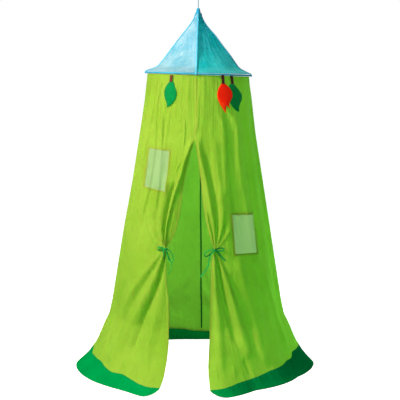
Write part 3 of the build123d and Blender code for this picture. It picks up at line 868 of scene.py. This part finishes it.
# ---- windows --------------------------------------------------------------------------------
def window_place(corners, margin, lift, side):
    """The pane, a margin wider than the opening all round."""
    (ax, az), (bx, bz), (cx, cz), (dx, dz) = corners

    def place(across, down):
        width = abs(bx - ax)
        height = abs(dz - az)
        u = across * (1 + 2 * margin / width) - margin / width
        v = down * (1 + 2 * margin / height) - margin / height
        x = (1 - v) * ((1 - u) * ax + u * bx) + v * ((1 - u) * dx + u * cx)
        z = (1 - v) * ((1 - u) * az + u * bz) + v * ((1 - u) * dz + u * cz)
        return wall_points(turn_at(x, z), z, lift, None, front_folds(side))
    return place


def binding_place(corners, side):
    """A narrow stitched strip round the window's edge, up to 5 mm outside it."""
    spots = np.array(corners)
    middle = spots.mean(axis=0)

    def place(across, down):
        i = np.clip((down * 4).astype(int), 0, 3)
        along = (down * 4 - i)[:, None]
        ring = spots[i] * (1 - along) + spots[(i + 1) % 4] * along
        scale = 1 + (0.0052 * across - 0.0005)[:, None] / np.array((0.058, 0.105))
        x, z = (middle + (ring - middle) * scale).T
        return wall_points(turn_at(x, z), z, 0.0007, None, front_folds(side))
    return place


for side, corners in ((-1, left_window), (1, right_window)):
    word = words[side]
    shape = sheet_shape(40, 60, window_place(corners, 0.009, -0.0014, side), (0.12, 0.22))
    face_outwards(shape)
    pane = new_piece(f"{word}_window_voile", shape, window_voile, 0.0005)
    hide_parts(f"{word}_window_pane")
    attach(pane, "tent")
    shape = sheet_shape(4, 160, binding_place(corners, side), (0.008, 0.68))
    bmesh.ops.remove_doubles(shape, verts=shape.verts[:], dist=1e-6)
    face_outwards(shape)
    # The window binding uses the lighter lime copy, painted light over the shade round the window.
    binding = new_piece(f"{word}_window_binding", shape, lime_painted_highlight, 0.0017)
    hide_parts(f"{word}_window_trim")
    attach(binding, "tent")

# ---- roof -------------------------------------------------------------------------------------
roof_line = smooth_line(((-0.465, 0.2915), (-0.459, 0.279), (-0.451, 0.2575), (-0.440, 0.234),
                         (-0.429, 0.2215),
                         (-0.407, 0.2050), (-0.385, 0.189), (-0.362, 0.172), (-0.340, 0.155), (-0.318, 0.138),
                         (-0.296, 0.1215), (-0.274, 0.105), (-0.251, 0.0870), (-0.229, 0.067),
                         (-0.207, 0.0495),
                         (-0.185, 0.0335), (-0.163, 0.0215), (-0.150, 0.0170), (-0.136, 0.0145)), 0.002,
                         0.010)
roof_top = z_hoop + 0.337


def roof_points(turn, down, lift=0.0):
    """Roof cloth: stretched between four seams, so it is nearly flat between them."""
    z = roof_top + (z_hoop + 0.008 - roof_top) * down ** 0.93
    radius = at(roof_line, z)
    angle = np.radians(turn - seam_turn)
    flat_side = 1 / (np.abs(np.sin(angle)) + np.abs(np.cos(angle)))
    share = 0.72 * ease((0.240 - radius) / 0.10) + 0.16 * ease((radius - 0.03) / 0.05)
    share = share * ease((0.292 - radius) / 0.07)
    radius = radius * (1 - share * (1 - flat_side))
    crinkle = (np.sin(9 * angle + 14 * z) + 0.8 * np.sin(23 * angle - 31 * z + 1.0)
               + 0.5 * np.sin(41 * angle + 57 * z + 2.0)) * 0.0011 * ease((0.285 - radius) / 0.05)
    radius = radius + crinkle * ease(radius / 0.08) + lift
    x = radius * np.sin(np.radians(turn))
    y = -radius * np.cos(np.radians(turn))
    return np.stack([x, y, z + hoop_tilt(x, y, z) * ease(1 - (z - z_hoop) / 0.12)], axis=1)


def whole_roof(across, down):
    return roof_points(seam_turn + 360 * across, down)


shape = sheet_shape(240, 110, whole_roof, (1.8, 0.46))
bmesh.ops.remove_doubles(shape, verts=shape.verts[:], dist=1e-5)
face_outwards(shape)
roof = new_piece("roof", shape, voile_painted_lit_half, 0.0008)
roof.data.materials.append(voile_painted_shade_half)
# Painted light on the roof: the half towards +X takes the teal painted-shade copy, and the other half keeps
# the paler painted-highlight copy.
for face in roof.data.polygons:
    turn = math.degrees(math.atan2(face.center.x, -face.center.y))
    if 0 < turn - seam_turn < 180:
        face.material_index = 1
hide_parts("roof_gore_front_left", "roof_gore_front_right", "roof_gore_back_left",
            "roof_gore_back_right")
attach(roof, "tent")


def tube_along(name, points, radius, material, sides=10):
    """A sewn cord or tube that follows points: rings of a circle carried along them."""
    curve = bpy.data.curves.new(name, "CURVE")
    curve.dimensions = "3D"
    curve.bevel_depth = radius
    curve.bevel_resolution = sides // 2
    curve.use_fill_caps = True
    spline = curve.splines.new("POLY")
    spline.points.add(len(points) - 1)
    for point, spot in zip(spline.points, points):
        point.co = (*spot, 1)
    spline.use_smooth = True
    line = bpy.data.objects.new(name + "_line", curve)
    bpy.context.scene.collection.objects.link(line)
    mesh = bpy.data.meshes.new_from_object(line.evaluated_get(bpy.context.evaluated_depsgraph_get()))
    bpy.data.objects.remove(line)
    mesh.name = name
    mesh.materials.clear()
    mesh.materials.append(material)
    piece = bpy.data.objects.new(name, mesh)
    bpy.context.scene.collection.objects.link(piece)
    return piece


piping_steps = 70
over_the_brim = ((0.2970, -0.468), (0.2995, -0.474), (0.2975, -0.480))     # radius and height
for turn, word in ((0, "front"), (90, "right"), (180, "back"), (270, "left")):
    down = np.linspace(0, 1, piping_steps)
    spots = roof_points(np.full(piping_steps, seam_turn + turn), down, 0.0016)
    angle = math.radians(seam_turn + turn)
    ends = [(r * math.sin(angle), -r * math.cos(angle), z) for r, z in over_the_brim]
    ends = [(x, y, z + float(hoop_tilt(x, y, z))) for x, y, z in ends]
    thick = 0.0052 if word == "front" else 0.0034
    piping = tube_along(f"{word}_roof_piping", list(map(tuple, spots)) + ends, thick, cyan_binding)
    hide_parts(f"roof_piping_{word}")
    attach(piping, "tent")

# ---- tip cap ------------------------------------------------------------------------------------
shape = bmesh.new()
profile = [(0.0152, -0.1400), (0.0148, -0.1360), (0.0130, -0.1300), (0.0112, -0.1225), (0.0099, -0.1160),
           (0.0085, -0.1105), (0.0068, -0.1070), (0.0053, -0.1080), (0.0053, -0.1250), (0.0058, -0.1370),
           (0.0152, -0.1400)]
ring = [shape.verts.new((r, 0, z)) for r, z in profile[:-1]]
edges = [shape.edges.new((ring[i], ring[(i + 1) % len(ring)])) for i in range(len(ring))]
bmesh.ops.spin(shape, geom=ring + edges, cent=(0, 0, 0), axis=(0, 0, 1), angle=2 * math.pi, steps=64,
               use_merge=True)
bmesh.ops.remove_doubles(shape, verts=shape.verts[:], dist=1e-6)
for vert in shape.verts:
    around = math.atan2(vert.co.y, vert.co.x)
    if math.hypot(vert.co.x, vert.co.y) > 0.0075:
        grow = 1 + 0.035 * math.sin(11 * around + 60 * vert.co.z) + 0.02 * math.sin(23 * around)
        vert.co.x *= grow
        vert.co.y *= grow
bmesh.ops.recalc_face_normals(shape, faces=shape.faces[:])
cap = new_piece("bound_tip", shape, tip_binding)
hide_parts("tip_cap")
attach(cap, "tent")


# ---- brim and hoop --------------------------------------------------------------------------------
def hoop_ring(name, section_radius, material, start=0.0, sweep=360.0, pucker=0.0):
    """A round section carried round the hoop, all the way or over a part of it."""
    shape = bmesh.new()
    made = bmesh.ops.create_circle(shape, cap_ends=False, segments=20, radius=section_radius)
    for vert in made["verts"]:
        vert.co = Vector((hoop_radius + vert.co.x, 0, z_hoop + vert.co.y))
    full = sweep >= 360
    geom = shape.verts[:] + shape.edges[:]
    bmesh.ops.rotate(shape, verts=shape.verts[:], cent=(0, 0, 0),
                     matrix=Matrix.Rotation(math.radians(start), 3, "Z"))
    bmesh.ops.spin(shape, geom=geom, cent=(0, 0, 0), axis=(0, 0, 1), angle=math.radians(sweep),
                   steps=240 if full else 30, use_merge=full)
    if full:
        bmesh.ops.remove_doubles(shape, verts=shape.verts[:], dist=1e-6)
    else:
        bmesh.ops.holes_fill(shape, edges=shape.edges[:], sides=20)
    bmesh.ops.recalc_face_normals(shape, faces=shape.faces[:])
    for vert in shape.verts:
        x, y, z = vert.co
        around = math.atan2(y, x)
        grow = 1 + pucker * math.sin(90 * around) * (abs(z - z_hoop) < section_radius * 0.9)
        vert.co = Vector((x * grow, y * grow, z + float(hoop_tilt(x, y, z))))
    return new_piece(name, shape, material)


brim = hoop_ring("brim", 0.0048, brim_binding, pucker=0.0008)
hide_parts("brim_channel")
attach(brim, "tent")
rod = hoop_ring("hoop_rod_ring", 0.003, rod_fibre)
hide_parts("hoop_rod")
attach(rod, "tent")
ferrule = hoop_ring("hoop_rod_ferrule", 0.004, ferrule_steel, 90 - 4.1, 8.2)
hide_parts("hoop_ferrule")
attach(ferrule, "tent")

# ---- leaves -----------------------------------------------------------------------------------
z_leaf = -0.481


def leaf_spots(angle, lift, x, y, out):
    """Points on a flat against the sloping wall: x sideways, y up it and out away from it."""
    turn = math.radians(angle)
    away = np.array((math.sin(turn), -math.cos(turn), 0))
    right = np.array((math.cos(turn), math.sin(turn), 0))
    normal = away * math.cos(wall_slope) + np.array((0, 0, math.sin(wall_slope)))
    up = np.cross(normal, right)
    radius = wall_top_radius + (z_wall_top - z_leaf) * math.tan(wall_slope)
    origin = away * radius + np.array((0, 0, z_leaf)) + normal * lift
    return origin + np.outer(x, right) + np.outer(y, up) + np.outer(out, normal)


def leaf_piece(name, angle, lift, top, left_side, right_side, material, curl=(0.0, 0.0), rib=0.0):
    """A felt leaf between its left and right outlines, which run from the top to the tip, in millimetres."""
    tip = -left_side[-1][1] / 1000
    left_line = smooth_line([(y / 1000, x / 1000) for x, y in left_side], 0.001, 0.012)
    right_line = smooth_line([(y / 1000, x / 1000) for x, y in right_side], 0.001, 0.012)

    def place(across, down):
        y = -tip * down
        left, right = at(left_line, y), at(right_line, y)
        close = ease((1 - down) / 0.05)
        middle = (left + right) / 2
        x = (middle + (right - left) * (across - 0.5) * (0.04 + 0.96 * close)) / math.cos(math.radians(angle))
        bow = curl[0] * (2 * across - 1) ** 2 + curl[1] * down ** 2
        crease = rib * np.exp(-((across - 0.5) / 0.05) ** 2) * ease(down / 0.15) * ease((1 - down) / 0.2)
        return leaf_spots(angle, lift, x, y - top, bow + crease)
    shape = sheet_shape(28, 90, place, (0.07, tip))
    turn = math.radians(angle)
    face_outwards(shape, Vector((math.sin(turn), -math.cos(turn), 0.15)))
    return new_piece(name, shape, material, 0.0016)


def strap_piece(name, angle, lift, top, material):
    """A short strap from the brim to the leaf's top, a little narrower in the middle."""
    def place(across, down):
        y = 0.001 - (top + 0.007) * down
        x = (across - 0.5) * 0.0165 / math.cos(math.radians(angle)) * (1 - 0.10 * np.sin(down * 3.1))
        out = 0.0016 + 0.0015 * np.sin(down * math.pi) - 0.0012 * (1 - down)
        return leaf_spots(angle, lift, x, y, out)
    shape = sheet_shape(8, 24, place, (0.0145, top))
    turn = math.radians(angle)
    face_outwards(shape, Vector((math.sin(turn), -math.cos(turn), 0.15)))
    return new_piece(name, shape, material, 0.0013)


green_sides = (((-5, 0), (-21, -18), (-30, -37), (-34, -58), (-32, -79), (-26, -99), (-18, -114), (-12, -128),
                (-13, -142), (-12, -146)),
               ((5, 0), (16, -9), (20, -28), (28, -45), (34, -64), (35, -79), (31, -99), (21, -117),
                (7, -133),
                (-9, -145), (-12, -146)))
red_sides = (((-5, 0), (-14, -12), (-25, -31), (-33, -48), (-34, -66), (-24, -92), (-4, -116), (15, -127),
              (28, -140)),
             ((5, 0), (21, -12), (39, -33), (48, -56), (46, -77), (35, -98), (26, -114), (25, -127),
              (28, -140)))
red_back_sides = (((-5, 0), (-14, -12), (-26, -31), (-35, -60), (-34, -86), (-24, -116), (-9, -143),
                   (4, -164)),
                  ((5, 0), (17, -14), (31, -36), (35, -58), (31, -80), (21, -102), (12, -122), (8, -142),
                   (4, -164)))
dark_sides = (((-5, 0), (-18, -15), (-29, -48), (-30, -75), (-22, -103), (-10, -129), (6, -150), (20, -160)),
              ((6, 0), (17, -13), (31, -30), (44, -51), (51, -68), (48, -88), (37, -111), (28, -132),
               (26, -147),
               (27, -156), (20, -160)))
for name, node, body, angle, lift, top, sides, material, curl, rib in (
        ("green_felt_leaf", "green_leaf", "green_leaf_body", -30.0, 0.0045, 0.030, green_sides, green_felt,
         (-0.002, 0.003), 0.0),
        ("red_felt_leaf", "red_leaf_front", "red_leaf_body", 26.2, 0.0120, 0.042, red_sides, red_felt,
         (-0.002, 0.002), 0.0),
        ("red_felt_back_leaf", "red_leaf_back", "red_leaf_body", 26.2, 0.0098, 0.042, red_back_sides,
         orange_red_felt,
         (-0.002, 0.0), 0.0),
        ("dark_felt_leaf", "dark_leaf", "dark_leaf_body", 38.3, 0.0045, 0.042, dark_sides, dark_felt,
         (-0.003, 0.001), 0.0016)):
    leaf = leaf_piece(name, angle, lift, top, *sides, material, curl, rib)
    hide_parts(node)
    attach(leaf, body)
for name, node, body, angle, lift, top, material, slot in (
        ("green_leaf_ribbon", "green_leaf_strap", "green_leaf_body", -30.0, 0.0045, 0.030, brown_strap,
         "green_strap"),
        ("red_leaf_ribbon", "red_leaf_strap", "red_leaf_body", 26.2, 0.0120, 0.042, dark_strap, "red_strap"),
        ("dark_leaf_ribbon", "dark_leaf_strap", "dark_leaf_body", 38.3, 0.0045, 0.042, dark_strap,
         "red_strap")):
    strap = strap_piece(name, angle, lift, top, material)
    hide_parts(node)
    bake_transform(strap)


# ---- ties -------------------------------------------------------------------------------------
def ribbon_path(points, count=80):
    """Smooth line through (x, y) points in millimetres, as metres."""
    given = np.array(points, float) / 1000
    t = np.concatenate([[0], np.cumsum(np.hypot(*np.diff(given, axis=0).T))])
    fine = np.linspace(0, t[-1], count)
    path = np.stack([np.interp(fine, t, given[:, i]) for i in (0, 1)], axis=1)
    for _ in range(14):
        path[1:-1] = (path[:-2] + 2 * path[1:-1] + path[2:]) / 4
    return path, t[-1]


def tie_ribbon(name, side, knot, points, width, tilt, lift_start, lift_middle, lift_end, material):
    """A strip of ribbon along points beside the knot. Tilt 0 lies flat on the cloth, 90 stands on edge."""
    path, length = ribbon_path(points)
    along = np.gradient(path, axis=0)
    along /= np.linalg.norm(along, axis=1)[:, None]
    x = knot[0] + path[:, 0]
    z = knot[1] + path[:, 1] * math.cos(wall_slope)
    share = np.linspace(0, 1, len(path))
    lift = np.where(share < 0.5, lift_start + (lift_middle - lift_start) * ease(share * 2),
                    lift_middle + (lift_end - lift_middle) * ease(share * 2 - 1))
    ground = wall_points(turn_at(x, z), z, 0.0, None, front_folds(side))
    turn = np.radians(turn_at(x, z))
    normal = np.stack([np.sin(turn) * math.cos(wall_slope), -np.cos(turn) * math.cos(wall_slope),
                       np.full(len(turn), math.sin(wall_slope))], axis=1)
    spots = ground + normal * lift[:, None]
    # keep the ribbon from following every small fold
    for _ in range(10):
        spots[1:-1] = (spots[:-2] + 2 * spots[1:-1] + spots[2:]) / 4
    direction = np.gradient(spots, axis=0)
    direction /= np.linalg.norm(direction, axis=1)[:, None]
    beside = np.cross(normal, direction)
    beside /= np.linalg.norm(beside, axis=1)[:, None]
    lean = np.radians(tilt[0] + (tilt[1] - tilt[0]) * share)
    wide = beside * np.cos(lean)[:, None] + normal * np.sin(lean)[:, None]

    def place(across, down):
        i = np.clip(np.round(down * (len(spots) - 1)).astype(int), 0, len(spots) - 1)
        return spots[i] + wide[i] * ((across - 0.5) * width)[:, None]
    shape = sheet_shape(4, 79, place, (width, length))
    turn = math.radians(float(turn_at(knot[0], knot[1])))
    face_outwards(shape, Vector((math.sin(turn), -math.cos(turn), 0.1)))
    return new_piece(name, shape, material, 0.0009, 0.0)


ribbon_width = 0.0092
# each strip's points from the knot in millimetres, its tilt at both ends, and its lift in the middle
# and at the end
tie_paths = {
    -1: {"loop_a": (((-3, 2), (-17, 7), (-35, 11), (-42, -1), (-35, -9), (-17, -10), (-3, -2)), (42, 42),
                    0.010, 0.010),
         "loop_b": (((3, 1), (23, -6), (36, -21), (45, -38), (48, -55), (37, -69), (24, -60), (18, -43),
                     (14, -26),
                     (3, -3)), (40, 46), 0.012, 0.010),
         "tail_a": (((3, -4), (17, -36), (34, -70), (37, -90), (31, -111), (16, -133)), (42, 55), 0.008,
                    0.006),
         "tail_b": (((-4, -4), (-6, -20), (-9, -42), (-8, -60)), (10, 30), 0.006, 0.004)},
    1: {"loop_a": (((3, 2), (20, 7), (42, 9), (50, 1), (42, -6), (20, -6), (3, -2)), (35, 40), 0.010, 0.010),
        "loop_b": (((-3, 1), (-28, 0), (-48, -12), (-56, -24), (-46, -38), (-28, -26), (-3, -4)), (42, 48),
                   0.010,
                   0.010),
        "tail_a": (((3, -4), (17, -12), (36, -36), (56, -60)), (10, 30), 0.006, 0.005),
        "tail_b": (((-2, -5), (-22, -25), (-28, -51), (-32, -82), (-47, -113), (-73, -144)), (40, 30), 0.006,
                   0.004)}}


def tie_knot(side, knot):
    """A small wrapped lump."""
    shape = bmesh.new()
    bmesh.ops.create_uvsphere(shape, u_segments=24, v_segments=16, radius=0.0062)
    middle = wall_points(np.array([float(turn_at(*knot))]), np.array([knot[1]]), 0.0125, None,
                         front_folds(side))[0]
    for vert in shape.verts:
        x, y, z = vert.co
        wrap = 1 + 0.12 * math.sin(900 * z + 500 * x)
        vert.co = Vector((x * wrap * 1.15 + middle[0], y * wrap * 0.85 + middle[1], z * 1.1 + middle[2]))
    return new_piece(f"{words[side]}_ribbon_knot", shape, tie_satin)


def tie_band(side, knot):
    """The band round the gathered edge."""
    def place(across, down):
        around = down * math.pi * 2
        turn = float(turn_at(*knot))
        centre = wall_points(np.array([turn]), np.array([knot[1]]), 0.0, None, front_folds(side))[0]
        centre = centre + np.array((-0.004 if side < 0 else 0.004, 0.006, 0))
        x = centre[0] + 0.0135 * np.sin(around)
        y = centre[1] - 0.0115 * np.cos(around)
        z = centre[2] + (across - 0.5) * 0.0065 + 0.001 * np.sin(around * 2)
        return np.stack([x, y, z], axis=1)
    shape = sheet_shape(4, 48, place, (0.0065, 0.08))
    bmesh.ops.remove_doubles(shape, verts=shape.verts[:], dist=1e-6)
    bmesh.ops.recalc_face_normals(shape, faces=shape.faces[:])
    return new_piece(f"{words[side]}_ribbon_band", shape, tie_satin, 0.0009)


for side, knot in ((-1, left_knot), (1, right_knot)):
    word = words[side]
    for part, (points, tilt, middle, end) in tie_paths[side].items():
        strip = tie_ribbon(f"{word}_ribbon_{part}", side, knot, points, ribbon_width, tilt, 0.013, middle,
                           end, tie_satin)
        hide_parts(f"{word}_tie_{part}")
        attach(strip, f"{word}_flap")
    lump = tie_knot(side, knot)
    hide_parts(f"{word}_tie_knot")
    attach(lump, f"{word}_flap")
    band = tie_band(side, knot)
    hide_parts(f"{word}_tie_band")
    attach(band, f"{word}_flap")

# ---- cord, its knot and the hook ----------------------------------------------------------------
cord_route = ((0, -0.0024, -0.1363), (0, -0.0024, -0.098), (0, -0.0041, -0.044), (0, -0.00415, -0.03585),
              (0, 0.00415, -0.03585), (0, 0.0041, -0.044), (0, 0.0024, -0.098), (0, 0.0024, -0.1363))
route = bpy.data.curves.new("hanging_rope", "CURVE")
route.dimensions = "3D"
route.bevel_depth = 0.0023
route.bevel_resolution = 5
route.resolution_u = 16
route.use_fill_caps = True
spline = route.splines.new("NURBS")
spline.points.add(len(cord_route) - 1)
for point, spot in zip(spline.points, cord_route):
    point.co = (*spot, 1)
spline.order_u = 3
spline.use_endpoint_u = True
rope = bpy.data.objects.new("hanging_rope", route)
bpy.context.scene.collection.objects.link(rope)
route.materials.append(cord_yarn)
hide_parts("hanging_cord")
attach(rope, "ceiling_mount")
for node, material in (("cord_knot", cord_yarn), ("ceiling_hook", white_wire)):
    nodes[node].data.materials.clear()
    nodes[node].data.materials.append(material)

# ---- floor and light ------------------------------------------------------------------------------
shape = bmesh.new()
bmesh.ops.create_circle(shape, cap_ends=True, segments=96, radius=40)
bmesh.ops.translate(shape, verts=shape.verts[:], vec=(0, 0, z_floor - 0.0012))
n = Nodes("studio_floor")
tone = n.ramp(n.noise(n.coords(False), 3.0, 3.0), ((0.3, (0.86, 0.86, 0.86)), (0.7, (0.90, 0.90, 0.90))))
floor = new_piece("studio_floor", shape, n.finish(n.principled(tone, 0.9, None, Specular_IOR_Level=0.0,
                                                             Emission_Color=(1, 1, 1, 1),
                                                             Emission_Strength=0.95)))
floor.visible_diffuse = False

world = bpy.data.worlds.new("studio")
world.use_nodes = True
tree = world.node_tree
tree.nodes.clear()
seen = tree.nodes.new("ShaderNodeBackground")
seen.inputs[0].default_value = (1, 1, 1, 1)
seen.inputs[1].default_value = 1.0
around = tree.nodes.new("ShaderNodeBackground")
around.inputs[0].default_value = (0.90, 1.0, 0.95, 1)
around.inputs[1].default_value = 0.15
path = tree.nodes.new("ShaderNodeLightPath")
both = tree.nodes.new("ShaderNodeMixShader")
tree.links.new(path.outputs["Is Camera Ray"], both.inputs[0])
tree.links.new(around.outputs[0], both.inputs[1])
tree.links.new(seen.outputs[0], both.inputs[2])
tree.links.new(both.outputs[0], tree.nodes.new("ShaderNodeOutputWorld").inputs[0])
bpy.context.scene.world = world


def soft_light(name, place, aim, size, power, color=(1, 1, 1)):
    data = bpy.data.lights.new(name, "AREA")
    data.shape = "DISK"
    data.size = size
    data.energy = power
    data.color = color
    lamp = bpy.data.objects.new(name, data)
    lamp.location = place
    lamp.rotation_euler = (Vector(aim) - Vector(place)).to_track_quat("-Z", "Y").to_euler()
    bpy.context.scene.collection.objects.link(lamp)


soft_light("key", (-2.75, -2.05, 1.0), (0, 0, -0.9), 0.8, 265, (1.0, 0.87, 0.72))
soft_light("top fill", (0.7, -2.3, 0.3), (0.05, 0, -0.60), 0.6, 17, (1.0, 0.90, 0.74))
soft_light("back glow", (2.8, 2.6, 0.2), (0, 0, -1.3), 1.8, 40, (0.92, 1.0, 0.95))
# daylight inside the tent, from the roof down to the floor
for height, reach, power in ((-0.36, 0.02, 0.5), (-0.62, 0.05, 1.7), (-0.95, 0.07, 2.1), (-1.30, 0.09, 2.4),
                             (-1.65, 0.11, 2.3), (-1.98, 0.13, 1.9)):
    data = bpy.data.lights.new("inside", "POINT")
    data.energy = power
    data.shadow_soft_size = 0.1
    data.color = (0.80, 1.0, 0.80)
    lamp = bpy.data.objects.new("inside", data)
    lamp.location = (reach, 0.02, height)
    lamp.visible_camera = False
    bpy.context.scene.collection.objects.link(lamp)
bpy.context.scene.view_settings.view_transform = "Standard"
